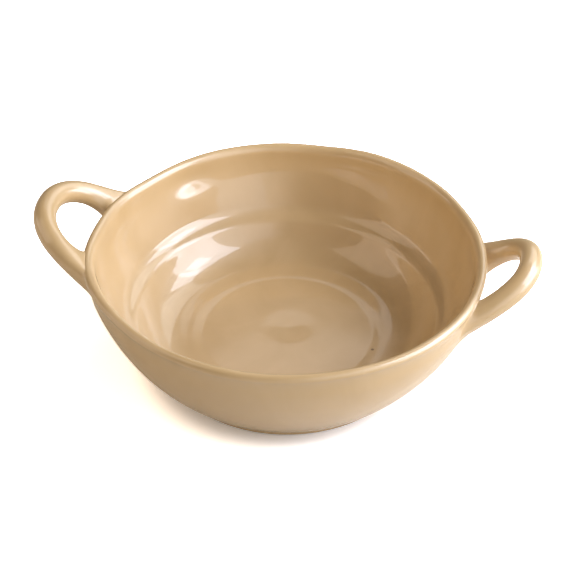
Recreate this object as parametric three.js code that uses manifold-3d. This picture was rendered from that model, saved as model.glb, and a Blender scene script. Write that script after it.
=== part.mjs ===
// Chip and dip bowl in glazed stoneware: a wide bowl with a flat floor and a soft
// ledge inside, a foot ring under it, and two upswept loop handles. Each handle end
// is luted to the wall with a coil of clay that is smoothed out into a fillet.
// Millimetres, +Z up. The origin is on the bowl's axis, at the level it stands on.
// +X runs along the handles and -Y is the front.
import * as THREE from "three";
import { mergeVertices } from "three/addons/utils/BufferGeometryUtils.js";
import Module from "manifold-3d";

const wasm = await Module();
wasm.setup();

const degree = Math.PI / 180;

// Outside of the bowl
const rimRadius = 126;
const rimHeight = 84.5;
const seatRadius = 87;
const bellyPowerShare = 2.05;
const edgeRound = 1.2;

// Lip: rounded, and rolled slightly outwards past the wall below it
const lipThickness = 5.8;
const lipRoll = 0.7;
const lipUnderTurn = -45 * degree;

// Inside of the bowl
const wallThickness = 8.6;
const ledgeRadius = 102;
const ledgeHeight = 39.5;
const ledgeRise = 4;
const wellPowerShare = 2.8;
const floorRadius = 57;
const floorHeight = 15;
const floorStep = 0.7;
const floorStepWidth = 3;
const dimpleRadius = 10;
const dimpleDepth = 0.5;
const dimpleEdge = 2.5;

// Foot ring and the trimmed underside that it surrounds
const footHeight = 5.5;
const footRadius = 84.2;
const footWidth = 9.5;
const footTaper = 0.6;
const footRound = 1.2;
const undersideRise = 2;
const undersideFlat = 14;

// Hand-shaped rim: how far its radius and its height stray from a true circle, at
// equal steps round the bowl from +X towards +Y. The waves die out towards the floor.
const rimWidthShares = [
  0.003, -0.002, -0.008, 0, 0.003, 0.001, 0, 0,
  0, -0.002, -0.01, 0.006, 0.009, 0.025, 0.014, -0.002,
  -0.002, -0.001, 0, 0, 0, 0.003, 0.007, 0.009,
];
const rimLiftShares = [
  0, 0, -0.001, 0, 0.005, 0.005, -0.015, -0.002,
  -0.001, -0.005, -0.008, 0.001, 0, 0, -0.002, 0.001,
  0.004, 0.006, 0.004, 0.007, 0.002, -0.007, -0.008, -0.002,
];
const widthFadeShare = 1.6;
const liftFadeShare = 3;

// Handles: a round tube bent into a loop that rises away from the wall. Its ends meet
// the wall at a drop below the rim.
const leftLoop = {
  bearing: 180.7 * degree,
  halfSpan: 36.8,
  reach: 38,
  rise: 24,
  rootDrop: 10,
  rootSink: 2,
  tubeRadius: 7.3,
  squareShare: 2.2,
  leanShare: 0,
};
const rightLoop = {
  bearing: -1.4 * degree,
  halfSpan: 30.2,
  reach: 33.8,
  rise: 24,
  rootDrop: 15.9,
  rootSink: 2,
  tubeRadius: 7.1,
  squareShare: 2.3,
  leanShare: 0.1,
};

// Luting coils: how far the smoothed clay runs out over the wall and up the handle,
// the share of that in each direction round the tube, and the least share up the handle
const lutingReach = 15;
const lutingHeight = 33;
const awayShare = 0.8;
const holeShare = 0.28;
const upShare = 0.2;
const downShare = 1;
const lutingTopShare = 0.5;

// Room for the slip between pieces that are cut to one another, and how far the ends
// of the tubes and the feet of the coils run on into the wall before they are cut
const clearance = 0.3;
const buriedLength = 12;
const buriedDepth = 3;

// Facets
const bowlSteps = 72;
const wallSteps = 10;
const lipSteps = 5;
const wellSteps = 8;
const tubeSides = 16;
const lutingRings = 7;
const loopShares = [0, 0.03, 0.07, 0.12, 0.18, 0.25, 0.33, 0.42, 0.52, 0.63, 0.75, 0.88];

// Accuracy of the search for the wall and of the welding of vertices
const halvings = 40;
const probeShare = 0.001;
const weldShare = 0.001;

const glaze = { color: 0xcdac7d, roughness: 0.16, metalness: 0 };
const footClay = { color: 0xc9ac82, roughness: 0.45, metalness: 0 };

const clamp01 = (value) => Math.min(1, Math.max(0, value));
const smooth = (value) => value * value * (3 - 2 * value);

// Radius of the plain outer wall at a height, before the rim's hand-shaped waves
function wallRadius(height) {
  const rise = clamp01((height - footHeight) / (rimHeight - footHeight));
  return seatRadius + (rimRadius - lipRoll - seatRadius) * (1 - (1 - rise) ** bellyPowerShare);
}

// Value at an angle of a closed table of shares, on a smooth curve through its entries
function shareAround(shares, angle) {
  const place = THREE.MathUtils.euclideanModulo(angle / (2 * Math.PI), 1) * shares.length;
  const index = Math.floor(place);
  const [before, start, end, after] = [-1, 0, 1, 2].map(
    (step) => shares[(index + step + shares.length) % shares.length],
  );
  const t = place - index;
  const square = 2 * before - 5 * start + 4 * end - after;
  const cube = 3 * start - before - 3 * end + after;
  return start + 0.5 * t * (end - before + t * (square + t * cube));
}

// 0 at the floor's level and below, 1 at the rim
function fadeAt(height, power) {
  return clamp01((height - floorHeight) / (rimHeight - floorHeight)) ** power;
}

// Factor by which the waves widen the bowl at a place
function waveAt(angle, height) {
  return 1 + shareAround(rimWidthShares, angle) * fadeAt(height, widthFadeShare);
}

// The place on the wall that is level with a point and in line with it from the axis,
// moved straight out by lift
function wallPlace(point, lift = 0) {
  const angle = Math.atan2(point.y, point.x);
  const radius = wallRadius(point.z) * waveAt(angle, point.z) + lift;
  return new THREE.Vector3(radius * Math.cos(angle), radius * Math.sin(angle), point.z);
}

// How far a point lies outside the wall, measured level with the table
function distanceToWall(point) {
  const place = wallPlace(point);
  return Math.hypot(point.x, point.y) - Math.hypot(place.x, place.y);
}

// A point of the lip's round section: a quarter turn is its crest
function lipPoint(turn) {
  const radius = lipThickness / 2;
  const along = rimRadius - radius + radius * Math.cos(turn);
  return new THREE.Vector2(along, rimHeight - radius + radius * Math.sin(turn));
}

// Outer outline from the seat of the foot ring up to the crest of the lip
function outerOutline() {
  const points = [new THREE.Vector2(seatRadius - edgeRound, footHeight)];
  const wallStart = footHeight + edgeRound;
  const wallEnd = rimHeight - lipThickness;
  for (let step = 0; step < wallSteps; step += 1) {
    const height = wallStart + ((wallEnd - wallStart) * step) / wallSteps;
    points.push(new THREE.Vector2(wallRadius(height), height));
  }
  for (let step = 0; step <= lipSteps; step += 1) {
    points.push(lipPoint(lipUnderTurn + (Math.PI / 2 - lipUnderTurn) * (step / lipSteps)));
  }
  return points;
}

// Inner outline from the crest of the lip down to the middle of the floor
function innerOutline() {
  const points = [];
  for (let step = 1; step < lipSteps; step += 1) {
    points.push(lipPoint((Math.PI / 2) * (1 + step / lipSteps)));
  }
  const lipFoot = lipPoint(Math.PI);
  const thicknessAtLip = wallRadius(lipFoot.y) - lipFoot.x;
  const ledgeTop = ledgeHeight + ledgeRise;
  for (let step = 0; step <= wallSteps; step += 1) {
    const share = step / wallSteps;
    const height = lipFoot.y + (ledgeTop - lipFoot.y) * share;
    const thickness = thicknessAtLip + (wallThickness - thicknessAtLip) * smooth(share);
    points.push(new THREE.Vector2(wallRadius(height) - thickness, height));
  }
  const wellEdge = new THREE.Vector2(floorRadius + floorStepWidth, floorHeight + floorStep);
  for (let step = 0; step <= wellSteps; step += 1) {
    const share = 1 - step / wellSteps;
    const radius = wellEdge.x + (ledgeRadius - wellEdge.x) * share;
    const height = wellEdge.y + (ledgeHeight - wellEdge.y) * share ** wellPowerShare;
    points.push(new THREE.Vector2(radius, height));
  }
  points.push(new THREE.Vector2(floorRadius, floorHeight));
  points.push(new THREE.Vector2(dimpleRadius, floorHeight));
  points.push(new THREE.Vector2(dimpleRadius - dimpleEdge, floorHeight - dimpleDepth));
  points.push(new THREE.Vector2(0, floorHeight - dimpleDepth));
  return points;
}

// Underside outline from the axis out to the flat that sits on the foot ring
function undersideOutline() {
  const innerFoot = footRadius - footWidth;
  return [
    new THREE.Vector2(0, footHeight + undersideRise),
    new THREE.Vector2(innerFoot - undersideFlat, footHeight + undersideRise),
    new THREE.Vector2(innerFoot, footHeight),
  ];
}

// A lathe about +Z, with the rim's waves put into it
function turned(outline) {
  const geometry = new THREE.LatheGeometry(outline, bowlSteps);
  geometry.rotateX(Math.PI / 2);
  const position = geometry.attributes.position;
  for (let index = 0; index < position.count; index += 1) {
    const [x, y, z] = [position.getX(index), position.getY(index), position.getZ(index)];
    const angle = Math.atan2(y, x);
    const wave = waveAt(angle, z);
    const lift = rimHeight * shareAround(rimLiftShares, angle) * fadeAt(z, liftFadeShare);
    position.setXYZ(index, x * wave, y * wave, z + lift);
  }
  return geometry;
}

// Moves an open outline outwards along its own normals
function grownOutline(outline, distance) {
  return outline.map((point, index) => {
    const before = outline[Math.max(index - 1, 0)];
    const after = outline[Math.min(index + 1, outline.length - 1)];
    const along = after.clone().sub(before).normalize();
    return new THREE.Vector2(point.x + along.y * distance, point.y - along.x * distance);
  });
}

// A closed three.js geometry as a solid that can be cut and joined
function solidOf(geometry) {
  const bare = geometry.clone();
  bare.deleteAttribute("normal");
  bare.deleteAttribute("uv");
  const merged = mergeVertices(bare, clearance * weldShare);
  const mesh = new wasm.Mesh({
    numProp: 3,
    vertProperties: new Float32Array(merged.attributes.position.array),
    triVerts: new Uint32Array(merged.index.array),
  });
  return new wasm.Manifold(mesh);
}

function geometryOf(solid) {
  const mesh = solid.getMesh();
  const geometry = new THREE.BufferGeometry();
  geometry.setAttribute("position", new THREE.BufferAttribute(mesh.vertProperties, 3));
  geometry.setIndex(new THREE.BufferAttribute(mesh.triVerts, 1));
  geometry.computeVertexNormals();
  return geometry;
}

// Everything inside the bowl's outer face, grown by the clearance
function wallCutter() {
  const outline = grownOutline(outerOutline(), clearance);
  const crest = outline[outline.length - 1];
  const start = new THREE.Vector2(0, footHeight);
  const end = new THREE.Vector2(0, crest.y);
  return solidOf(turned([start, ...outline, end]));
}

// The centre line of a handle: a squared ellipse in a plane that tilts up from the
// wall. Past either end it runs straight on into the wall.
class LoopCurve extends THREE.Curve {
  constructor(loop) {
    super();
    this.loop = loop;
    const level = new THREE.Vector3(Math.cos(loop.bearing), Math.sin(loop.bearing), 0);
    this.side = new THREE.Vector3(-level.y, level.x, 0);
    this.outward = level.clone().setZ(loop.rise / loop.reach).normalize();
    this.slant = Math.hypot(loop.reach, loop.rise) / loop.reach;
    this.upward = new THREE.Vector3().crossVectors(this.outward, this.side);
    const rootHeight = rimHeight - loop.rootDrop;
    const distance = Math.sqrt(wallRadius(rootHeight) ** 2 - loop.halfSpan ** 2) - loop.rootSink;
    this.root = level.clone().multiplyScalar(distance).setZ(rootHeight);
  }

  getPoint(share, target = new THREE.Vector3()) {
    const { halfSpan, reach, squareShare, leanShare } = this.loop;
    const turn = Math.PI * clamp01(share);
    const beyond = Math.max(0, -share, share - 1) * reach;
    const bulge = Math.abs(Math.sin(turn)) ** (2 / squareShare);
    const spread = Math.sign(Math.cos(turn)) * Math.abs(Math.cos(turn)) ** (2 / squareShare);
    const out = (reach * bulge - beyond) * this.slant;
    const along = halfSpan * spread + leanShare * reach * bulge;
    return target.copy(this.root).addScaledVector(this.outward, out).addScaledVector(this.side, along);
  }

  // Direction from the middle of the loop outwards, across the tube
  awayAt(share) {
    const along = this.getPoint(share + probeShare).sub(this.getPoint(share - probeShare)).normalize();
    return new THREE.Vector3().crossVectors(this.upward, along).normalize();
  }

  // A point on the tube's skin, or above it by lift
  skinPoint(share, angle, lift = 0) {
    const away = this.awayAt(share);
    const radius = this.loop.tubeRadius + lift;
    return this.getPoint(share)
      .addScaledVector(away, Math.cos(angle) * radius)
      .addScaledVector(this.upward, Math.sin(angle) * radius);
  }

  // Share of the curve, from one end, at which a line along the skin meets the wall
  meetsWall(angle, fromStart) {
    let buried = -buriedLength / this.loop.reach;
    let free = 0.5;
    for (let step = 0; step < halvings; step += 1) {
      const middle = (buried + free) / 2;
      const share = fromStart ? middle : 1 - middle;
      if (distanceToWall(this.skinPoint(share, angle)) < 0) {
        buried = middle;
      } else {
        free = middle;
      }
    }
    return (buried + free) / 2;
  }
}

// Joins rings of points into a closed skin with a fan on each end
function loft(rings) {
  const sides = rings[0].length;
  const points = rings.flat();
  const triangles = [];
  for (let ring = 0; ring + 1 < rings.length; ring += 1) {
    for (let side = 0; side < sides; side += 1) {
      const next = (side + 1) % sides;
      const [a, b] = [ring * sides + side, ring * sides + next];
      triangles.push([a, b, b + sides], [a, b + sides, a + sides]);
    }
  }
  for (const [first, flip] of [[0, true], [points.length - sides, false]]) {
    const middle = new THREE.Vector3();
    for (let side = 0; side < sides; side += 1) {
      middle.addScaledVector(points[first + side], 1 / sides);
    }
    const centre = points.push(middle) - 1;
    for (let side = 0; side < sides; side += 1) {
      const [a, b] = [first + side, first + ((side + 1) % sides)];
      triangles.push(flip ? [b, a, centre] : [a, b, centre]);
    }
  }
  const geometry = new THREE.BufferGeometry().setFromPoints(points);
  geometry.setIndex(triangles.flat());
  return geometry;
}

const tubeAngles = Array.from({ length: tubeSides }, (_, side) => (2 * Math.PI * side) / tubeSides);

// The bare tube of a handle, buried in the wall at both ends
function handleTube(curve, lift) {
  const buriedShare = buriedLength / curve.loop.reach;
  const halves = [true, false].map((fromStart) => {
    const meetings = tubeAngles.map((angle) => curve.meetsWall(angle, fromStart));
    const ringAt = (placeOf) =>
      tubeAngles.map((angle, side) => {
        const place = placeOf(meetings[side]);
        return curve.skinPoint(fromStart ? place : 1 - place, angle, lift);
      });
    return [
      ringAt((meeting) => meeting - buriedShare),
      ...loopShares.map((share) => ringAt((meeting) => meeting + (0.5 - meeting) * share)),
    ];
  });
  const top = tubeAngles.map((angle) => curve.skinPoint(0.5, angle, lift));
  return solidOf(loft([...halves[0], top, ...halves[1].toReversed()]));
}

// Share of the luting's full spread in a direction round the tube: 0 points away
// from the loop's hole and a quarter turn points up
function spreadShare(angle) {
  const mean = (awayShare + holeShare + upShare + downShare) / 4;
  const sideways = (awayShare - holeShare) / 2;
  const upwards = (upShare - downShare) / 2;
  const oval = (awayShare + holeShare - upShare - downShare) / 4;
  return mean + sideways * Math.cos(angle) + upwards * Math.sin(angle) + oval * Math.cos(2 * angle);
}

// The coil of clay round one end of a handle: a quarter of an ellipse that runs out
// flat along the wall at its foot and along the tube at its top. Each line of it starts
// where the tube's skin meets the wall.
function lutingCoil(curve, end) {
  const skinAt = (share, angle, lift) => curve.skinPoint(end === 0 ? share : 1 - share, angle, lift);
  const lines = tubeAngles.map((angle) => {
    const spread = spreadShare(angle);
    const start = curve.meetsWall(angle, end === 0);
    const root = skinAt(start, angle, 0);
    const outward = skinAt(start, angle, clearance).sub(root).normalize();
    const height = lutingHeight * (lutingTopShare + (1 - lutingTopShare) * spread);
    const footAt = (reach) => root.clone().addScaledVector(outward, lutingReach * spread * reach);
    const line = [wallPlace(footAt(1), -buriedDepth)];
    for (let ring = 0; ring <= lutingRings; ring += 1) {
      const turn = (Math.PI / 2) * (ring / lutingRings);
      const climb = height * (1 - Math.cos(turn));
      const skin = skinAt(start + climb / curve.getLength(), angle, -clearance * (ring / lutingRings));
      line.push(wallPlace(footAt(1 - Math.sin(turn))).add(skin).sub(root));
    }
    return line;
  });
  const rings = lines[0].map((_, ring) => lines.map((line) => line[ring]));
  return solidOf(loft(end === 0 ? rings : rings.toReversed()));
}

function meshOf(name, geometry, finish) {
  const mesh = new THREE.Mesh(geometry, new THREE.MeshStandardMaterial(finish));
  mesh.name = name;
  return mesh;
}

function bowlBody() {
  return turned([...undersideOutline(), ...outerOutline(), ...innerOutline()]);
}

function footRing() {
  const inner = footRadius - footWidth;
  const outline = [
    new THREE.Vector2(inner, footHeight),
    new THREE.Vector2(inner + footTaper, footRound),
    new THREE.Vector2(inner + footTaper + footRound, 0),
    new THREE.Vector2(footRadius - footTaper - footRound, 0),
    new THREE.Vector2(footRadius - footTaper, footRound),
    new THREE.Vector2(footRadius, footHeight),
    new THREE.Vector2(inner, footHeight),
  ];
  const geometry = new THREE.LatheGeometry(outline, bowlSteps);
  geometry.rotateX(Math.PI / 2);
  return geometry;
}

const bowl = new THREE.Group();
bowl.name = "chip_and_dip_bowl";
bowl.add(meshOf("bowl_body", bowlBody(), glaze));
bowl.add(meshOf("foot_ring", footRing(), footClay));

const cutter = wallCutter();
for (const [name, loop, endNames] of [
  ["left", leftLoop, ["front", "back"]],
  ["right", rightLoop, ["back", "front"]],
]) {
  const curve = new LoopCurve(loop);
  const tube = handleTube(curve, 0).subtract(cutter);
  bowl.add(meshOf(`${name}_handle`, geometryOf(tube), glaze));
  const clearedTube = handleTube(curve, clearance);
  endNames.forEach((endName, end) => {
    const coil = lutingCoil(curve, end).subtract(clearedTube).subtract(cutter);
    bowl.add(meshOf(`${name}_${endName}_luting_coil`, geometryOf(coil), glaze));
  });
}

export default bowl;
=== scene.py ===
# %% [markdown]
# # A chip and dip bowl in glazed stoneware
#
# The bowl is a wide, hand-finished shell of stoneware with a soft ledge inside, a foot
# ring under it and a loop handle on each side, all under one caramel-cream glaze.
# A measured CAD model of its eight solids is loaded first and never changed. The rim's
# waves are measured from it, and its main sizes are repeated below as plain numbers. The
# solids are then dressed by smoother, fuller pieces, made the way one would make them by
# hand in Blender, and the CAD solids under them are hidden.

# %% Load the measured model
import math

import bpy
from mathutils import Matrix, Vector, noise


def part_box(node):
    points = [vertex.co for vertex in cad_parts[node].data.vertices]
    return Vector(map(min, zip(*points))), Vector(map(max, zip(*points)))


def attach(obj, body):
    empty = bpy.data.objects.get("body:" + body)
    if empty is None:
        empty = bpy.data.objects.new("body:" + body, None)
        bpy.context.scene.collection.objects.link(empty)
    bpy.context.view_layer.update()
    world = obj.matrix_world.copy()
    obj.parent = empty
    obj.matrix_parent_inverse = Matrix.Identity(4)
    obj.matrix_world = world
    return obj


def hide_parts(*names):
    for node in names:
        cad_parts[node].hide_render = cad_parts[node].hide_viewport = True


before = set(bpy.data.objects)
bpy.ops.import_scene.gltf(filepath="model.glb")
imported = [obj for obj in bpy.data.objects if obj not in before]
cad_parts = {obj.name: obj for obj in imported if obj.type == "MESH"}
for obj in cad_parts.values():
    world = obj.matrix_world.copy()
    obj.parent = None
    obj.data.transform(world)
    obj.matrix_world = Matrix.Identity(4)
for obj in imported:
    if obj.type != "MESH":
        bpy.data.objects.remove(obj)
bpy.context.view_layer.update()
body_low, body_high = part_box("bowl_body")
print("CAD nodes:", ", ".join(sorted(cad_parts)))
print("Bowl alone, in mm:", [round(side * 1000, 1) for side in body_high - body_low])

# %% [markdown]
# ## Small helpers
#
# An operator works on everything that is selected, and loading leaves the CAD nodes
# selected. So each step starts by selecting only the piece that it is about. A finished
# piece keeps its place in its mesh, with the object itself at the origin and unturned,
# because patterns in Object coordinates would slide otherwise.

# %% Helpers for selecting and finishing
MM = 0.001
weld_distance = 0.01 * MM


def take(piece):
    """Selects this piece and nothing else."""
    bpy.ops.object.select_all(action="DESELECT")
    piece.select_set(True)
    bpy.context.view_layer.objects.active = piece
    return piece


def named(name):
    """Names the object that an operator has just added, and returns it."""
    piece = bpy.context.object
    piece.name = name
    piece.data.name = name
    return piece


def settle(piece):
    """Puts a piece's place into its mesh and turns all its faces outwards."""
    take(piece)
    bpy.ops.object.transform_apply(location=True, rotation=True, scale=True)
    bpy.ops.object.mode_set(mode="EDIT")
    bpy.ops.mesh.select_all(action="SELECT")
    bpy.ops.mesh.remove_doubles(threshold=weld_distance)
    bpy.ops.mesh.normals_make_consistent(inside=False)
    bpy.ops.object.mode_set(mode="OBJECT")
    bpy.ops.object.shade_smooth()
    return piece


print("Helpers ready, with a weld distance of", weld_distance / MM, "mm")

# %% [markdown]
# ## Camera
#
# The photo looks down on the bowl from the front and a little from the right, with a
# long lens. The numbers come from fitting one pinhole camera to the rim, the foot, the
# inner floor and both handles. The small shift moves the picture so that the bowl sits
# where it does in the photo.

# %% Place the camera
photo_side = 576
focal_pixels = 1386
sensor_width = 36
picture_middle = (287.0, 295.7)
camera_distance = 0.9
camera_rise = math.radians(38.3)
camera_turn = math.radians(10.4)
look_at = Vector((0, 0, 45 * MM))

towards_camera = Vector((
    math.sin(camera_turn) * math.cos(camera_rise),
    -math.cos(camera_turn) * math.cos(camera_rise),
    math.sin(camera_rise),
))
bpy.ops.object.camera_add(
    location=look_at + towards_camera * camera_distance,
    rotation=towards_camera.to_track_quat("Z", "Y").to_euler(),
)
camera = named("photo_camera")
camera.data.sensor_width = sensor_width
camera.data.lens = sensor_width * focal_pixels / photo_side
camera.data.shift_x = (photo_side / 2 - picture_middle[0]) / photo_side
camera.data.shift_y = (picture_middle[1] - photo_side / 2) / photo_side
bpy.context.scene.camera = camera
print("Lens", round(camera.data.lens, 1), "mm")

# %% [markdown]
# ## Floor
#
# The bowl stands on a white sweep. A matt floor does this and keeps the soft shadow. In
# the photo only the part of the shadow close to the foot is left and all else is plain
# white. So the camera sees a paint that is darker near the foot and brighter further
# out. The bowl sees another one: a cream floor throws light back onto it, as warm as its
# own glaze, and a paler cream floor is what its glaze mirrors.

# %% White floor
floor_size = 4
floor_gap = 0.1 * MM
floor_bounce = (0.51, 0.46, 0.385)
floor_mirrored = (0.9, 0.82, 0.7)
floor_near = 1.25
floor_far = 3.2
near_radius = 84 * MM
far_radius = 108 * MM


def largest(tree, sockets):
    """Joins several sockets into the largest of them."""
    joined = sockets[0]
    for socket in sockets[1:]:
        either = tree.nodes.new("ShaderNodeMath")
        either.operation = "MAXIMUM"
        tree.links.new(joined, either.inputs[0])
        tree.links.new(socket, either.inputs[1])
        joined = either.outputs[0]
    return joined


def rays(tree, *names):
    """One for these kinds of ray, nought for all others."""
    ray = tree.nodes.new("ShaderNodeLightPath")
    return largest(tree, [ray.outputs[name] for name in names])


def chosen(tree, share, plain, special):
    """Mixes two shaders by a share between nought and one."""
    mix = tree.nodes.new("ShaderNodeMixShader")
    tree.links.new(share, mix.inputs[0])
    tree.links.new(plain, mix.inputs[1])
    tree.links.new(special, mix.inputs[2])
    return mix.outputs[0]


def fading(tree, value, start, end, low=0.0, high=1.0):
    """A soft step of a value between a start and an end."""
    step = tree.nodes.new("ShaderNodeMapRange")
    step.interpolation_type = "SMOOTHSTEP"
    names = ("From Min", "From Max", "To Min", "To Max")
    for name, number in zip(names, (start, end, low, high)):
        step.inputs[name].default_value = number
    tree.links.new(value, step.inputs["Value"])
    return step.outputs[0]


def matt(tree, colour):
    """A matt paint of one colour."""
    shader = tree.nodes.new("ShaderNodeBsdfDiffuse")
    shader.inputs["Color"].default_value = (*colour, 1)
    return shader.outputs[0]


def matt_by_distance(tree):
    """A matt paint that gets brighter with the distance from the bowl's axis."""
    place = tree.nodes.new("ShaderNodeTexCoord")
    distance = tree.nodes.new("ShaderNodeVectorMath")
    distance.operation = "LENGTH"
    tree.links.new(place.outputs["Object"], distance.inputs[0])
    away = distance.outputs["Value"]
    lightness = fading(tree, away, near_radius, far_radius, floor_near, floor_far)
    shader = tree.nodes.new("ShaderNodeBsdfDiffuse")
    tree.links.new(lightness, shader.inputs["Color"])
    return shader.outputs[0]


bpy.ops.mesh.primitive_plane_add(size=floor_size, location=(0, 0, -floor_gap))
floor = take(named("studio_floor"))
floor_paint = bpy.data.materials.new("white_sweep")
floor_paint.use_nodes = True
tree = floor_paint.node_tree
tree.nodes.clear()
mirrored = rays(tree, "Is Glossy Ray", "Is Transmission Ray")
unseen = chosen(tree, mirrored, matt(tree, floor_bounce), matt(tree, floor_mirrored))
white = chosen(tree, rays(tree, "Is Camera Ray"), unseen, matt_by_distance(tree))
tree.links.new(white, tree.nodes.new("ShaderNodeOutputMaterial").inputs["Surface"])
floor.data.materials.append(floor_paint)
print("Floor ready:", floor.name, floor_size, "m wide")

# %% [markdown]
# ## The studio around it
#
# The camera sees plain white all round, and the glaze mirrors something else: white air
# low on the right in front of the bowl, dimmer air high on the right behind it, and a
# nearly dark room everywhere else. A round white umbrella high up behind the bowl draws
# the pale arch across the bowl's flat floor. So the world is white, grey or dark by the
# direction that a ray goes in, with soft steps between. For matt surfaces there is a
# third air. It lights the bowl softly from all sides, a little more from the front and
# the right, and more from low down than from above, which keeps the bowl's floor darker
# than its walls.

# %% Studio air
dark_room = 0.08
grey_air = 0.3
grey_rise = (0.36, 0.5)
grey_turn = 50
grey_spread = (0.2, 0.75)
white_turn = 135
white_spread = (0.45, 0.95)
umbrella_place = (1, 47)
umbrella_rim = (7.55, 7.4)
air_warmth = (1, 0.965, 0.86)
air_low = 0.76
air_high = 0.08
air_rise = (0.25, 0.9)
ground_rise = (-0.05, 0.35)
ground_share = 0.5
sway_turn = 115
air_sway = 0.15

world = bpy.data.worlds.new("studio_air")
bpy.context.scene.world = world
world.use_nodes = True
air = world.node_tree
air.nodes.clear()
where = air.nodes.new("ShaderNodeTexCoord")


def direction(turned, raised=0):
    """A direction turned right from straight away and raised from level, in degrees."""
    heading = camera_turn + math.pi / 2 - math.radians(turned)
    level = math.cos(math.radians(raised))
    return (math.cos(heading) * level, math.sin(heading) * level, math.sin(math.radians(raised)))


def towards(turned, raised=0):
    """How far a ray goes towards a direction: one straight at it, nought square to it."""
    product = air.nodes.new("ShaderNodeVectorMath")
    product.operation = "DOT_PRODUCT"
    product.inputs[1].default_value = direction(turned, raised)
    air.links.new(where.outputs["Generated"], product.inputs[0])
    return product.outputs["Value"]


def constant(number):
    value = air.nodes.new("ShaderNodeValue")
    value.outputs[0].default_value = number
    return value.outputs[0]


def worked_out(operation, first, second):
    result = air.nodes.new("ShaderNodeMath")
    result.operation = operation
    air.links.new(first, result.inputs[0])
    air.links.new(second, result.inputs[1])
    return result.outputs[0]


def times(first, second):
    return worked_out("MULTIPLY", first, second)


def plus(first, second):
    return worked_out("ADD", first, second)


def background(strength, tint=(1, 1, 1)):
    shader = air.nodes.new("ShaderNodeBackground")
    shader.inputs["Color"].default_value = (*tint, 1)
    air.links.new(strength, shader.inputs["Strength"])
    return shader.outputs[0]


apart = air.nodes.new("ShaderNodeSeparateXYZ")
air.links.new(where.outputs["Generated"], apart.inputs[0])
rise = apart.outputs["Z"]
high_up = fading(air, rise, *grey_rise, 0, grey_air)
grey = times(high_up, fading(air, towards(grey_turn), *grey_spread))
white_air = fading(air, towards(white_turn), *white_spread)
umbrella_edge = [math.cos(math.radians(angle)) for angle in umbrella_rim]
umbrella = fading(air, towards(*umbrella_place), *umbrella_edge)
lit = largest(air, [grey, white_air, umbrella, constant(dark_room)])
shown = background(largest(air, [lit, rays(air, "Is Camera Ray")]))
higher_up = fading(air, rise, *air_rise, air_low, air_high)
near_level = fading(air, rise, *ground_rise, ground_share, 1)
sway = fading(air, towards(sway_turn), -1, 1, -air_sway, air_sway)
carried = background(plus(times(higher_up, near_level), sway), air_warmth)
seen = rays(air, "Is Camera Ray", "Is Glossy Ray", "Is Transmission Ray")
world_output = air.nodes.new("ShaderNodeOutputWorld")
air.links.new(chosen(air, seen, carried, shown), world_output.inputs["Surface"])
bpy.context.scene.view_settings.view_transform = "Standard"
print("World ready:", world.name)

# %% [markdown]
# ## Lamps
#
# The glaze is a mirror as much as a colour, so the lamps are placed by what they draw in
# it. The bright patch in the left of the well is the reflection of a large softbox on
# the right, brighter in its middle than at its edge, with a wide dim glow beside it. The
# weak pale patch in the right of the well is a much dimmer box on the left. A long low
# screen on either side lights the walls from the side, and a box behind the bowl
# brightens its lip. The light from the right is a little cooler than the room's, so the
# walls that it falls on look paler, and the light from the left is a little warmer.
#
# Directions are written as seen from the camera: turned right from straight away, and
# raised from level. Each row below gives a lamp's name, how far it is turned and raised
# in degrees, its distance, width and height in metres, and its radiance.

# %% Softboxes on the right and the left
daylight = (0.93, 1, 1.17)
neutral = (1, 1, 1)
lamplight = (1.15, 0.96, 0.78)


def softbox(name, turned, raised, distance, width, height, radiance, tint=daylight):
    """Adds a rectangular lamp that faces the bowl. Radiance 1 shows as white."""
    away = Vector(direction(turned, raised))
    bpy.ops.object.light_add(
        type="AREA",
        location=look_at + away * distance,
        rotation=away.to_track_quat("Z", "Y").to_euler(),
    )
    lamp = named(name)
    lamp.data.shape = "RECTANGLE"
    lamp.data.size = width
    lamp.data.size_y = height
    lamp.data.energy = radiance * math.pi * width * height
    lamp.data.color = tint
    return lamp


lamps = [
    softbox("key_softbox", 97, 34, 1.3, 0.98, 1.14, 4.35),
    softbox("key_softbox_heart", 90.5, 41, 1.2, 0.32, 0.32, 4),
    softbox("key_softbox_side", 66, 41, 1.3, 0.4, 0.5, 4),
    softbox("key_low_screen", 98, 9, 1.5, 1.6, 0.46, 2.8),
    softbox("key_softbox_spill", 136, 26, 1.5, 1.6, 1.3, 0.45),
    softbox("back_softbox", 32, 38, 1.5, 0.8, 0.8, 1.4, neutral),
    softbox("fill_softbox", -96, 42, 1.4, 1.0, 1.1, 0.95, lamplight),
    softbox("fill_low_screen", -88, 15, 1.4, 1.2, 0.3, 1.7, lamplight),
]
print("Lamps:", ", ".join(lamp.name for lamp in lamps))

# %% [markdown]
# ## The hand-shaped rim
#
# The real rim isn't a true circle: it swells towards the handles and rises and sinks a
# little. The CAD bowl already has these waves, so they are measured from it: in each
# column of its facets the highest point is the crest of the lip. A smooth closed curve
# through the crests gives the wave at any angle.

# %% Measure the crest of the CAD rim
rim_radius = 126 * MM
rim_height = 84.5 * MM
seat_radius = 87 * MM
foot_height = 5.5 * MM
floor_height = 15 * MM
lip_thickness = 5.8 * MM
lip_roll = 0.7 * MM
belly_power = 2.05
neck_height = 74.5 * MM
neck_depth = 0.6 * MM
neck_width = 4 * MM
width_fade = 1.6
lift_fade = 3
columns = 72

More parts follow.
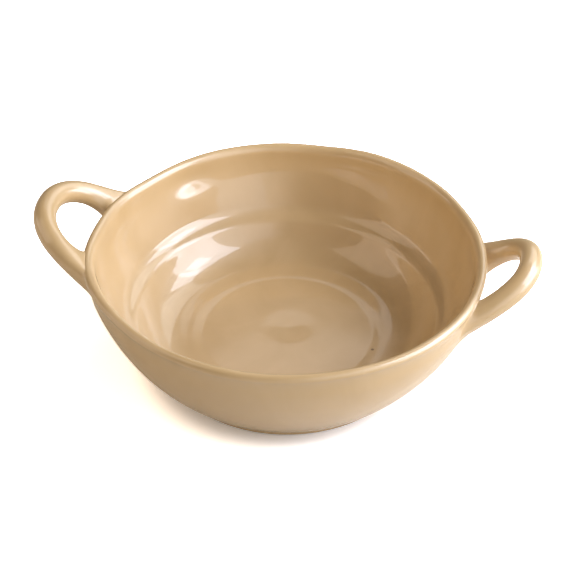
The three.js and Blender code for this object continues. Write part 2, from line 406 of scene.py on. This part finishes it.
crests = [Vector((0, 0, 0)) for column in range(columns)]
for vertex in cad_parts["bowl_body"].data.vertices:
    column = round(math.atan2(vertex.co.y, vertex.co.x) / math.tau * columns) % columns
    if vertex.co.z > crests[column].z:
        crests[column] = vertex.co.copy()
crest_radius = rim_radius - lip_thickness / 2
widths = [math.hypot(crest.x, crest.y) / crest_radius - 1 for crest in crests]
lifts = [crest.z / rim_height - 1 for crest in crests]
print("Rim strays by", round(min(widths) * 100, 1), "to", round(max(widths) * 100, 1), "percent")

# %% [markdown]
# The wave at an angle is read from a curve that passes smoothly through the measured
# values. It dies out towards the floor, so the foot stays round. The plain wall is one
# power curve from the seat of the foot up to the lip.

# %% The wall and its waves as functions


def clamp(value):
    return min(1.0, max(0.0, value))


def smooth(value):
    return value * value * (3 - 2 * value)


def around(values, angle):
    """Value at an angle, on a smooth closed curve through equal steps."""
    place = (angle / math.tau) % 1 * len(values)
    index = int(place)
    before, start, end, after = (values[(index + step) % len(values)] for step in (-1, 0, 1, 2))
    t = place - index
    square = 2 * before - 5 * start + 4 * end - after
    cube = 3 * start - before - 3 * end + after
    return start + 0.5 * t * (end - before + t * (square + t * cube))


def fade(height, power):
    """0 at the floor's level and below, 1 at the rim."""
    return clamp((height - floor_height) / (rim_height - floor_height)) ** power


def neck(height):
    """How deep a finger has drawn the soft groove under the lip, at a height."""
    return neck_depth * math.exp(-((height - neck_height) / neck_width) ** 2)


def wall_radius(height):
    """Radius of the plain outer wall at a height."""
    rise = clamp((height - foot_height) / (rim_height - foot_height))
    return seat_radius + (rim_radius - lip_roll - seat_radius) * (1 - (1 - rise) ** belly_power)


def waved(point):
    """Puts the rim's waves into a point of the plain turned bowl."""
    angle = math.atan2(point.y, point.x)
    wave = 1 + around(widths, angle) * fade(point.z, width_fade)
    lift = rim_height * around(lifts, angle) * fade(point.z, lift_fade)
    return Vector((point.x * wave, point.y * wave, point.z + lift))


def wall_place(point):
    """The place on the outer wall that is level with a point."""
    angle = math.atan2(point.y, point.x)
    wave = 1 + around(widths, angle) * fade(point.z, width_fade)
    radius = wall_radius(point.z) * wave
    return Vector((radius * math.cos(angle), radius * math.sin(angle), point.z))


print("Wall radius at mid height:", round(wall_radius(rim_height / 2) / MM, 1), "mm")

# %% [markdown]
# ## Bowl body
#
# A bowl like this is thrown or jiggered on a wheel, so its section is turned about one
# axis. The same can be done here: draw half of the section as a line, then spin it.
# Sculpting a sphere would also give a bowl, but not this lip, ledge and floor ring in
# their right places. The section runs from the middle of the underside, over the outer
# wall and the rounded lip, and down inside to the middle of the floor.
#
# Each of the ledge's steps says how far out and up a point lies from the top of the
# well. The steps, the floor's insets and the print's rings are in millimetres, and the
# lip's turns are in degrees.

# %% Draw the section
wall_thickness = 8.6 * MM
ledge_top = 45 * MM
ledge_radius = 95.7 * MM
ledge_height = 33.2 * MM
ledge_steps = ((10.3, 9.2), (8.8, 7.4), (7, 5.8), (5.3, 4.7), (3.8, 3.9), (2.3, 2.9), (1, 1.6))
well_power = 3.2
floor_radius = 57 * MM
floor_step = 0.45 * MM
floor_step_width = 4 * MM
floor_insets = (0, 2, 7, 15, 25, 34)
print_rings = (19.5, 16, 13, 10.5, 8, 5.5, 3, 0)
foot_inner_radius = 74.7 * MM
seat_middle = 80 * MM
underside_middle = 30 * MM
underside_rise = 2 * MM
underside_flat = 14 * MM
underside_slope = 7 * MM
underside_step = 1 * MM
edge_round = 1.2 * MM
lip_turns = range(-45, 91, 27)
lip_inner_width = 4.4 * MM
lip_inner_drop = 7 * MM
lip_inner_turns = range(18, 73, 18)


def lip_point(turn):
    """A point of the lip's round section. A quarter turn is its crest."""
    radius = lip_thickness / 2
    out = rim_radius - radius + radius * math.cos(turn)
    return (out, rim_height - radius + radius * math.sin(turn))


def underside_section():
    """From the middle of the underside to the edge of the seat that the foot sits on."""
    raised = foot_height + underside_rise
    return [
        (0, raised),
        (underside_middle, raised),
        (foot_inner_radius - underside_flat, raised),
        (foot_inner_radius - underside_slope, foot_height + underside_step),
        (foot_inner_radius, foot_height),
        (seat_middle, foot_height),
        (seat_radius - edge_round, foot_height),
    ]


def outside_section(steps=15):
    """Up the outer wall and over the lip to its crest."""
    start = foot_height + edge_round
    end = rim_height - lip_thickness
    heights = [start + (end - start) * step / steps for step in range(steps)]
    wall = [(wall_radius(height) - neck(height), height) for height in heights]
    lip = [lip_point(math.radians(turn)) for turn in lip_turns]
    return wall + lip


def inside_lip(turn):
    """The lip's inner side, which a wet finger has drawn down into a longer round."""
    crest = lip_point(math.pi / 2)
    out = crest[0] - lip_inner_width * math.sin(turn)
    return (out, crest[1] - lip_inner_drop * (1 - math.cos(turn)))


def inside_section(steps=9):
    """Down from the lip's crest, over the ledge and down the well to the floor's edge."""
    points = [inside_lip(math.radians(turn)) for turn in lip_inner_turns]
    foot_of_lip = points[-1]
    lip_wall = wall_radius(foot_of_lip[1]) - foot_of_lip[0]
    for step in range(1, steps + 1):
        share = step / steps
        height = foot_of_lip[1] + (ledge_top - foot_of_lip[1]) * share
        thickness = lip_wall + (wall_thickness - lip_wall) * smooth(share)
        points.append((wall_radius(height) - thickness, height))
    for out, up in ledge_steps:
        points.append((ledge_radius + out * MM, ledge_height + up * MM))
    edge = (floor_radius + floor_step_width, floor_height + floor_step)
    for step in range(steps + 1):
        share = 1 - step / steps
        height = edge[1] + (ledge_height - edge[1]) * share ** well_power
        points.append((edge[0] + (ledge_radius - edge[0]) * share, height))
    return points


def floor_section():
    """Across the floor to its middle, in finer steps where the thumb print will be."""
    radii = [floor_radius - inset * MM for inset in floor_insets]
    radii += [radius * MM for radius in print_rings]
    return [(radius, floor_height) for radius in radii]


section = underside_section() + outside_section() + inside_section() + floor_section()
print("Section points:", len(section))

# %% Spin the section into a bowl
bowl_steps = 88


def line_by_extruding(name, points):
    """Draws a line of edges as a hand would: one vertex, extruded from point to point."""
    bpy.ops.mesh.primitive_plane_add(size=MM, location=(0, 0, 0))
    piece = take(named(name))
    bpy.ops.object.mode_set(mode="EDIT")
    bpy.ops.mesh.merge(type="CENTER")
    bpy.ops.transform.translate(value=(points[0][0], 0, points[0][1]))
    for start, end in zip(points, points[1:]):
        step = (end[0] - start[0], 0, end[1] - start[1])
        bpy.ops.mesh.extrude_region_move(TRANSFORM_OT_translate={"value": step})
    bpy.ops.object.mode_set(mode="OBJECT")
    return piece


def spun(piece, steps):
    """Spins a line of edges once round the bowl's axis and closes it."""
    take(piece)
    bpy.ops.object.mode_set(mode="EDIT")
    bpy.ops.mesh.select_all(action="SELECT")
    bpy.ops.mesh.spin(steps=steps, angle=math.tau, center=(0, 0, 0), axis=(0, 0, 1))
    bpy.ops.object.mode_set(mode="OBJECT")
    return settle(piece)


bowl = spun(line_by_extruding("bowl", section), bowl_steps)
print("Bowl faces:", len(bowl.data.polygons))

# %% [markdown]
# The turned shell gets the rim's waves, which no lathe makes: a potter's hand does. Each
# vertex is moved in code, since the waves are measured values and a proportional edit by
# eye would miss them. Then a Subdivision Surface modifier rounds the facets off.

# %% Wave the rim and smooth the shell


def smoothed(piece, levels):
    """Rounds a piece with an applied Subdivision Surface modifier."""
    take(piece)
    rounding = piece.modifiers.new("rounding", "SUBSURF")
    rounding.levels = levels
    rounding.render_levels = levels
    bpy.ops.object.modifier_apply(modifier=rounding.name)
    return piece


for vertex in bowl.data.vertices:
    vertex.co = waved(vertex.co)
smoothed(bowl, 2)
print("Bowl faces after smoothing:", len(bowl.data.polygons))

# %% [markdown]
# ## Hand of the potter
#
# Nothing on the real bowl is machine-true, and the glaze's reflections show it. Broad
# shallow swells run over the walls, and long throwing marks run round them. The middle
# of the floor carries the shallow print of the potter's thumb. On the left at the back
# the wall leans out for a short stretch: that is where the photo shows a small bright
# patch high on the wall. Swells are noise along each vertex's own normal.

# %% Add the marks of the hand
swell_size = 42 * MM
swell_depth = 0.6 * MM
swell_fade = 0.5
floor_swell = 0.05
mark_length = 30 * MM
mark_height = 9 * MM
mark_depth = 0.11 * MM
print_place = Vector((0.5, 5, 0)) * MM
print_radius = 9.5 * MM
print_depth = 0.6 * MM
lean_turn = math.radians(136)
lean_height = 65.5 * MM
lean_drop = 8 * MM
lean_width = 15 * MM
lean_depth = 0.95 * MM


def hump(distance, radius):
    """One at a distance of nought, dying out softly beyond the radius."""
    return math.exp(-(distance / radius) ** 2)


def swell(point):
    """How far the clay stands proud of its plain form. The floor was turned almost flat."""
    share = floor_swell + (1 - floor_swell) * fade(point.z, swell_fade)
    marks = Vector((point.x / mark_length, point.y / mark_length, point.z / mark_height))
    return share * (swell_depth * noise.noise(point / swell_size) + mark_depth * noise.noise(marks))


def lean(point):
    """How far the inner wall comes in at a point: in below the leaning stretch, out above."""
    around_bowl = math.hypot(point.x, point.y) * (math.atan2(point.y, point.x) - lean_turn)
    below = (lean_height - point.z) / lean_drop
    return lean_depth * below * math.exp(0.5 - 0.5 * below ** 2) * hump(around_bowl, lean_width)


def thumb_print(point):
    """How far the floor is pressed down at a point."""
    return print_depth * hump((point.xy - print_place.xy).length, print_radius)


def moved_by_hand(vertex):
    """How a vertex of the plain bowl moves. The lean is only on the inner wall."""
    move = vertex.normal * swell(vertex.co)
    inside = vertex.normal.x * vertex.co.x + vertex.normal.y * vertex.co.y < 0
    if inside and vertex.co.z > ledge_top:
        move += vertex.normal * lean(vertex.co)
    if vertex.co.xy.length < floor_radius and vertex.co.z > floor_height - MM:
        move.z -= thumb_print(vertex.co)
    return move


moves = [moved_by_hand(vertex) for vertex in bowl.data.vertices]
for vertex, move in zip(bowl.data.vertices, moves):
    vertex.co += move
bowl.data.update()
print("Swells of", swell_depth / MM, "mm added, and a print", print_depth / MM, "mm deep")

# %% [markdown]
# ## Foot ring
#
# The foot is a ring of clay that is luted under the bowl and turned true. It is spun
# from its own small section. Its sides are glazed and its contact face is wiped bare.

# %% Spin the foot ring
foot_radius = 84.2 * MM
foot_taper = 0.6 * MM
foot_round = 1.2 * MM
foot_bend = 0.3
foot_overlap = 1.5 * MM
foot_bury = 0.4 * MM
foot_steps = 96


def foot_section():
    """Once round the foot's section. Its top is buried a little in the bowl's seat."""
    inner = foot_inner_radius
    return [
        (inner + foot_overlap, foot_height + foot_bury),
        (inner, foot_height),
        (inner + foot_bend * foot_taper, 0.5 * foot_height),
        (inner + foot_taper, foot_round),
        (inner + foot_taper + foot_bend * foot_round, foot_bend * foot_round),
        (inner + foot_taper + foot_round, 0),
        (0.5 * (inner + foot_radius), 0),
        (foot_radius - foot_taper - foot_round, 0),
        (foot_radius - foot_taper - foot_bend * foot_round, foot_bend * foot_round),
        (foot_radius - foot_taper, foot_round),
        (foot_radius - foot_bend * foot_taper, 0.5 * foot_height),
        (foot_radius, foot_height),
        (foot_radius - foot_overlap, foot_height + foot_bury),
        (inner + foot_overlap, foot_height + foot_bury),
    ]


foot = spun(line_by_extruding("turned_foot", foot_section()), foot_steps)
smoothed(foot, 1)
print("Foot faces:", len(foot.data.polygons))

# %% [markdown]
# ## Handles
#
# Each handle is a round rod of clay bent into a loop. It sweeps up and out from the
# wall, and the clay at its ends is smoothed out over the wall into broad flares. A
# curve with a round bevel would give the rod but not the flares, so the rod is made as a
# ring of vertices that is extruded along the loop, and its end rings are then spread
# over the wall in code, along quarter ellipses like those of the CAD luting coils.
#
# A loop's line is half an ellipse, made a little squarer: a `square` of 2 would leave it
# plain. Its `web` is the share of the flare's full spread that runs into its hole.

# %% The handles' loops
rod_unevenness = 0.03
share_nudge = 0.001
deepest_root = 12 * MM
halvings = 30
loops = {
    "left_handle": {
        "bearing": math.radians(180.7), "half_span": 36.8 * MM, "reach": 38 * MM,
        "rise": 24 * MM, "root_drop": 10 * MM, "root_sink": 2 * MM,
        "tube_radius": 7.3 * MM, "square": 2.2, "lean": 0, "web": 0.6,
    },
    "right_handle": {
        "bearing": math.radians(-1.4), "half_span": 30.2 * MM, "reach": 33.8 * MM,
        "rise": 24 * MM, "root_drop": 15.9 * MM, "root_sink": 2 * MM,
        "tube_radius": 7.1 * MM, "square": 2.3, "lean": 0.1, "web": 0.3,
    },
}


def set_up(loop):
    """Works out where a loop starts and the three directions that it is drawn along."""
    level = Vector((math.cos(loop["bearing"]), math.sin(loop["bearing"]), 0))
    loop["side"] = Vector((-level.y, level.x, 0))
    loop["outward"] = (level + Vector((0, 0, loop["rise"] / loop["reach"]))).normalized()
    loop["upward"] = loop["outward"].cross(loop["side"])
    loop["slant"] = math.hypot(loop["reach"], loop["rise"]) / loop["reach"]
    root_height = rim_height - loop["root_drop"]
    distance = math.sqrt(wall_radius(root_height) ** 2 - loop["half_span"] ** 2) - loop["root_sink"]
    loop["root"] = level * distance + Vector((0, 0, root_height))


def middle_at(loop, share):
    """A point of the loop's centre line. Past its ends it runs straight into the wall."""
    turn = math.pi * clamp(share)
    beyond = max(0, -share, share - 1) * loop["reach"]
    bulge = abs(math.sin(turn)) ** (2 / loop["square"])
    spread = math.copysign(abs(math.cos(turn)) ** (2 / loop["square"]), math.cos(turn))
    out = (loop["reach"] * bulge - beyond) * loop["slant"]
    along = loop["half_span"] * spread + loop["lean"] * loop["reach"] * bulge
    return loop["root"] + loop["outward"] * out + loop["side"] * along


def away_at(loop, share):
    """The direction away from the loop's hole, square to the rod."""
    along = middle_at(loop, share + share_nudge) - middle_at(loop, share - share_nudge)
    return loop["upward"].cross(along.normalized()).normalized()


def skin_at(loop, share, angle, lift=0.0):
    """A point on the rod's skin. Angle 0 faces away from the hole, a quarter turn is up."""
    away = away_at(loop, share)
    middle = middle_at(loop, share)
    radius = loop["tube_radius"] * (1 + rod_unevenness * noise.noise(middle / swell_size)) + lift
    return middle + away * (math.cos(angle) * radius) + loop["upward"] * (math.sin(angle) * radius)


def loop_length(loop, steps=200):
    """Length of the loop's centre line."""
    points = [middle_at(loop, step / steps) for step in range(steps + 1)]
    return sum((end - start).length for start, end in zip(points, points[1:]))


def wall_share(loop, angle, mirrored):
    """Share of the loop, from one end, at which a line along the skin meets the wall."""
    buried = -deepest_root / loop["reach"]
    free = 0.5
    for halving in range(halvings):
        middle = (buried + free) / 2
        point = skin_at(loop, 1 - middle if mirrored else middle, angle)
        if math.hypot(point.x, point.y) < wall_place(point).xy.length:
            buried = middle
        else:
            free = middle
    return (buried + free) / 2


for loop in loops.values():
    set_up(loop)
    print("Rod length", round(loop_length(loop) / MM), "mm")

# %% [markdown]
# The rod is extruded ring by ring, with each new ring turned square to the loop. It is
# made lying flat, which keeps every turn about the upright axis, and then tilted up and
# set at the wall in one move.

# %% Bend a rod of clay into each loop
rod_sides = 40
rod_rings = 72
end_gap = 0.001
rod_shares = [end_gap + (1 - 2 * end_gap) * ring / (rod_rings - 1) for ring in range(rod_rings)]


def flat_point(loop, share):
    """The loop's centre line laid flat: X along the span and Y outwards."""
    offset = middle_at(loop, share) - loop["root"]
    return Vector((offset.dot(loop["side"]), offset.dot(loop["outward"]), 0))


def bent_rod(name, loop):
    """Extrudes a ring along the loop, lying flat, and then sets the rod at the wall."""
    points = [flat_point(loop, share) for share in rod_shares]
    steps = [end - start for start, end in zip(points, points[1:])]
    headings = [math.atan2(step.y, step.x) for step in [steps[0]] + steps]
    bpy.ops.mesh.primitive_circle_add(
        vertices=rod_sides, radius=loop["tube_radius"], fill_type="NGON",
        location=points[0], rotation=(math.pi / 2, 0, headings[0] + math.pi / 2),
    )
    rod = take(named(name))
    bpy.ops.object.transform_apply(location=True, rotation=True, scale=True)
    bpy.ops.object.mode_set(mode="EDIT")
    bpy.ops.mesh.select_all(action="SELECT")
    for ring in range(1, rod_rings):
        bpy.ops.mesh.extrude_region_move(TRANSFORM_OT_translate={"value": steps[ring - 1]})
        bpy.ops.transform.rotate(
            value=headings[ring - 1] - headings[ring], orient_axis="Z", center_override=points[ring],
        )
    bpy.ops.object.mode_set(mode="OBJECT")
    tilt = Matrix((loop["side"], loop["outward"], loop["side"].cross(loop["outward"]))).transposed()
    rod.matrix_world = Matrix.Translation(loop["root"]) @ tilt.to_4x4()
    bpy.ops.object.transform_apply(location=True, rotation=True, scale=True)
    return rod


rods = {name: bent_rod(name + "_rod", loop) for name, loop in loops.items()}
for rod in rods.values():
    print(rod.name, len(rod.data.vertices), "vertices")

# %% [markdown]
# The flare is what a finger leaves when it smooths clay from the handle down onto the
# wall. It is widest below the handle and narrowest above it. Seen along any line of the
# rod, it is a quarter of an ellipse: flat along the wall at its foot, and flat along the
# rod at its top. Past its foot a hem of two more rings runs on and is sunk into the wall,
# so that no edge shows.

# %% Smooth the ends out over the wall
flare_reach = 15 * MM
flare_height = 33 * MM
flare_away = 0.65
flare_up = 0.12
flare_down = 1
flare_least = 0.5
flare_rings = 14
flare_hem = ((5 * MM, 3 * MM), (2.5 * MM, 0.25 * MM))


def flare_share(angle, web):
    """Share of the flare's full spread in a direction round the rod."""
    mean = (flare_away + web + flare_up + flare_down) / 4
    sideways = (flare_away - web) / 2
    upwards = (flare_up - flare_down) / 2
    oval = (flare_away + web - flare_up - flare_down) / 4
    return mean + sideways * math.cos(angle) + upwards * math.sin(angle) + oval * math.cos(2 * angle)


def on_bowl(point, sunk=0.0):
    """The nearest place on the finished bowl, or one sunk below its skin."""
    place, normal = bowl.closest_point_on_mesh(point)[1:3]
    return place - normal * sunk


def flared_line(loop, angle, mirrored):
    """Points from the flare's buried foot up to where it becomes the bare rod."""
    def at(share, lift=0.0):
        return skin_at(loop, 1 - share if mirrored else share, angle, lift)

    spread = flare_share(angle, loop["web"])
    start = wall_share(loop, angle, mirrored)
    root = at(start)
    outward = (at(start, MM) - root).normalized()
    height = flare_height * (flare_least + (1 - flare_least) * spread)
    reach = flare_reach * spread
    line = [on_bowl(root + outward * (reach + past), sunk) for past, sunk in flare_hem]
    for ring in range(flare_rings + 1):
        turn = math.pi / 2 * ring / flare_rings
        climb = height * (1 - math.cos(turn))
        skin = at(start + climb / loop["length"])
        plain = wall_place(root + outward * reach * (1 - math.sin(turn)))
        foot = on_bowl(plain).lerp(plain, ring / flare_rings)
        line.append(foot + skin - root)
    return line, start + height / loop["length"]


def side_of(vertex, loop, share):
    """Which of the rod's lines a vertex is on, counted from the side away from the hole."""
    away = away_at(loop, share)
    offset = vertex.co - middle_at(loop, share)
    angle = math.atan2(offset.dot(loop["upward"]), offset.dot(away))
    return round(angle / math.tau * rod_sides) % rod_sides


def spread_ends(rod, loop):
    """Moves each line of the rod's vertices onto its two flares and the rod between."""
    lines = []
    for side in range(rod_sides):
        angle = math.tau * side / rod_sides
        first, first_top = flared_line(loop, angle, False)
        last, last_top = flared_line(loop, angle, True)
        between = rod_rings - len(first) - len(last)
        free = []
        for ring in range(1, between + 1):
            share = first_top + (1 - last_top - first_top) * ring / (between + 1)
            free.append(skin_at(loop, share, angle))
        lines.append(first + free + last[::-1])
    places = []
    for index, vertex in enumerate(rod.data.vertices):
        ring = index // rod_sides
        share = rod_shares[ring]
        places.append(lines[side_of(vertex, loop, share)][ring])
    for vertex, place in zip(rod.data.vertices, places):
        vertex.co = place


for name, loop in loops.items():
    loop["length"] = loop_length(loop)
    spread_ends(rods[name], loop)
    smoothed(settle(rods[name]), 1)
print("Flares reach", flare_reach / MM, "mm over the wall")

# %% [markdown]
# ## Glaze
#
# The glaze is a glossy glass coat over pale stoneware: one caramel-cream colour that
# varies very little, a sharp reflection with a soft haze round it, and a surface that
# ripples slightly where the glass ran. A Principled shader does all of it: its coat is
# the smooth top of the glass and its base is the cloudy glaze below. Soft noise, drawn
# out downwards as a glaze runs, moves the colour a little between two close tones, and
# finer noise gives the ripple as a bump. A small dark spot of painted shade sits in the
# crease at the right edge of the bowl's floor, where the right wall's shadow falls.

# %% Make the glaze
glass_bending = 1.6
glass_roughness = 0.06
glaze_haze = 0.75
cloud_scale = 26
cloud_detail = 3
cloud_distortion = 0.8
running_scale = (1, 1, 0.4)
tone_stops = (0.3, 0.7)
ripple_detail = 2
ripple_height = 0.1 * MM
# Painted shade: a dark spot where the right wall's shadow falls in the floor's crease.
shade_spot_place = (58.2 * MM, -8.5 * MM, 15.2 * MM)
shade_spot_radius = 1.5 * MM
shade_spot_colour = (0.16, 0.09, 0.05, 1)
shade_spot_core = 0.3 * shade_spot_radius
shade_spot_weight = 0.8


def with_painted_shade_spot(tree, place, colour):
    """Paints one dark spot of shade into a colour, in the crease at the right edge of the bowl's
    floor.
    """
    away = tree.nodes.new("ShaderNodeVectorMath")
    away.operation = "DISTANCE"
    away.inputs[1].default_value = shade_spot_place
    tree.links.new(place.outputs["Object"], away.inputs[0])
    mix = tree.nodes.new("ShaderNodeMixRGB")
    mix.inputs["Color2"].default_value = shade_spot_colour
    share = fading(tree, away.outputs["Value"], shade_spot_core, shade_spot_radius, shade_spot_weight, 0)
    tree.links.new(share, mix.inputs["Fac"])
    tree.links.new(colour, mix.inputs["Color1"])
    return mix.outputs["Color"]


def ceramic(name, light, dark, coat_weight, roughness, ripple_scale, ripple):
    """A stoneware finish: two close tones, a glass coat over a duller base, a fine ripple."""
    paint = bpy.data.materials.new(name)
    paint.use_nodes = True
    tree = paint.node_tree
    coat = tree.nodes["Principled BSDF"]
    coat.inputs["Roughness"].default_value = roughness
    coat.inputs["Specular IOR Level"].default_value = glaze_haze
    coat.inputs["Coat Weight"].default_value = coat_weight
    coat.inputs["Coat Roughness"].default_value = glass_roughness
    coat.inputs["Coat IOR"].default_value = glass_bending
    place = tree.nodes.new("ShaderNodeTexCoord")
    cloud = tree.nodes.new("ShaderNodeTexNoise")
    cloud.inputs["Scale"].default_value = cloud_scale
    cloud.inputs["Detail"].default_value = cloud_detail
    cloud.inputs["Distortion"].default_value = cloud_distortion
    running = tree.nodes.new("ShaderNodeMapping")
    running.inputs["Scale"].default_value = running_scale
    tones = tree.nodes.new("ShaderNodeValToRGB")
    for stop, place_along, tone in zip(tones.color_ramp.elements, tone_stops, (dark, light)):
        stop.position = place_along
        stop.color = (*tone, 1)
    fine = tree.nodes.new("ShaderNodeTexNoise")
    fine.inputs["Scale"].default_value = ripple_scale
    fine.inputs["Detail"].default_value = ripple_detail
    bump = tree.nodes.new("ShaderNodeBump")
    bump.inputs["Strength"].default_value = ripple
    bump.inputs["Distance"].default_value = ripple_height
    tree.links.new(place.outputs["Object"], running.inputs["Vector"])
    tree.links.new(running.outputs["Vector"], cloud.inputs["Vector"])
    tree.links.new(place.outputs["Object"], fine.inputs["Vector"])
    tree.links.new(cloud.outputs[0], tones.inputs[0])
    tree.links.new(with_painted_shade_spot(tree, place, tones.outputs[0]), coat.inputs["Base Color"])
    tree.links.new(fine.outputs[0], bump.inputs["Height"])
    tree.links.new(bump.outputs[0], coat.inputs["Normal"])
    tree.links.new(bump.outputs[0], coat.inputs["Coat Normal"])
    return paint


glaze = ceramic(
    "caramel_cream_glaze", light=(0.63, 0.424, 0.205), dark=(0.57, 0.374, 0.169),
    coat_weight=1, roughness=0.45, ripple_scale=120, ripple=0.15,
)
foot_glaze = ceramic(
    "thin_satin_glaze", light=(0.60, 0.41, 0.22), dark=(0.57, 0.385, 0.20),
    coat_weight=0.4, roughness=0.4, ripple_scale=300, ripple=0.3,
)
bare_clay = ceramic(
    "bare_stoneware", light=(0.62, 0.50, 0.36), dark=(0.54, 0.42, 0.29),
    coat_weight=0, roughness=0.85, ripple_scale=900, ripple=0.8,
)
print("Finishes:", glaze.name, foot_glaze.name, bare_clay.name)

# %% [markdown]
# ## Dress the pieces
#
# Every piece is glazed but the face that the foot stands on: a potter wipes that bare,
# or the bowl would stick to the kiln shelf. Its faces are picked by their place, close
# to the table and facing down.

# %% Give each piece its finish
bare_height = 0.3 * MM
facing_down = -0.5
for piece in [bowl, *rods.values()]:
    piece.data.materials.append(glaze)
foot.data.materials.append(foot_glaze)
foot.data.materials.append(bare_clay)
for face in foot.data.polygons:
    bare = face.center.z < bare_height and face.normal.z < facing_down
    face.material_index = 1 if bare else 0
print("Bare faces on the foot:", sum(face.material_index for face in foot.data.polygons))

# %% [markdown]
# ## Tie the pieces to the CAD solids
#
# Nothing on the bowl moves, so every piece rides on the one body, `root`. Each piece
# stands for the CAD nodes that it covers. A handle piece covers its tube and the two
# coils that lute it to the wall.

# %% Ride and replace
coils = {
    "left_handle": ("left_front_luting_coil", "left_back_luting_coil"),
    "right_handle": ("right_front_luting_coil", "right_back_luting_coil"),
}
for piece in [bowl, foot, *rods.values()]:
    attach(piece, "root")
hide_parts("bowl_body")
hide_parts("foot_ring")
for name, rod in rods.items():
    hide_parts(name, *coils[name])
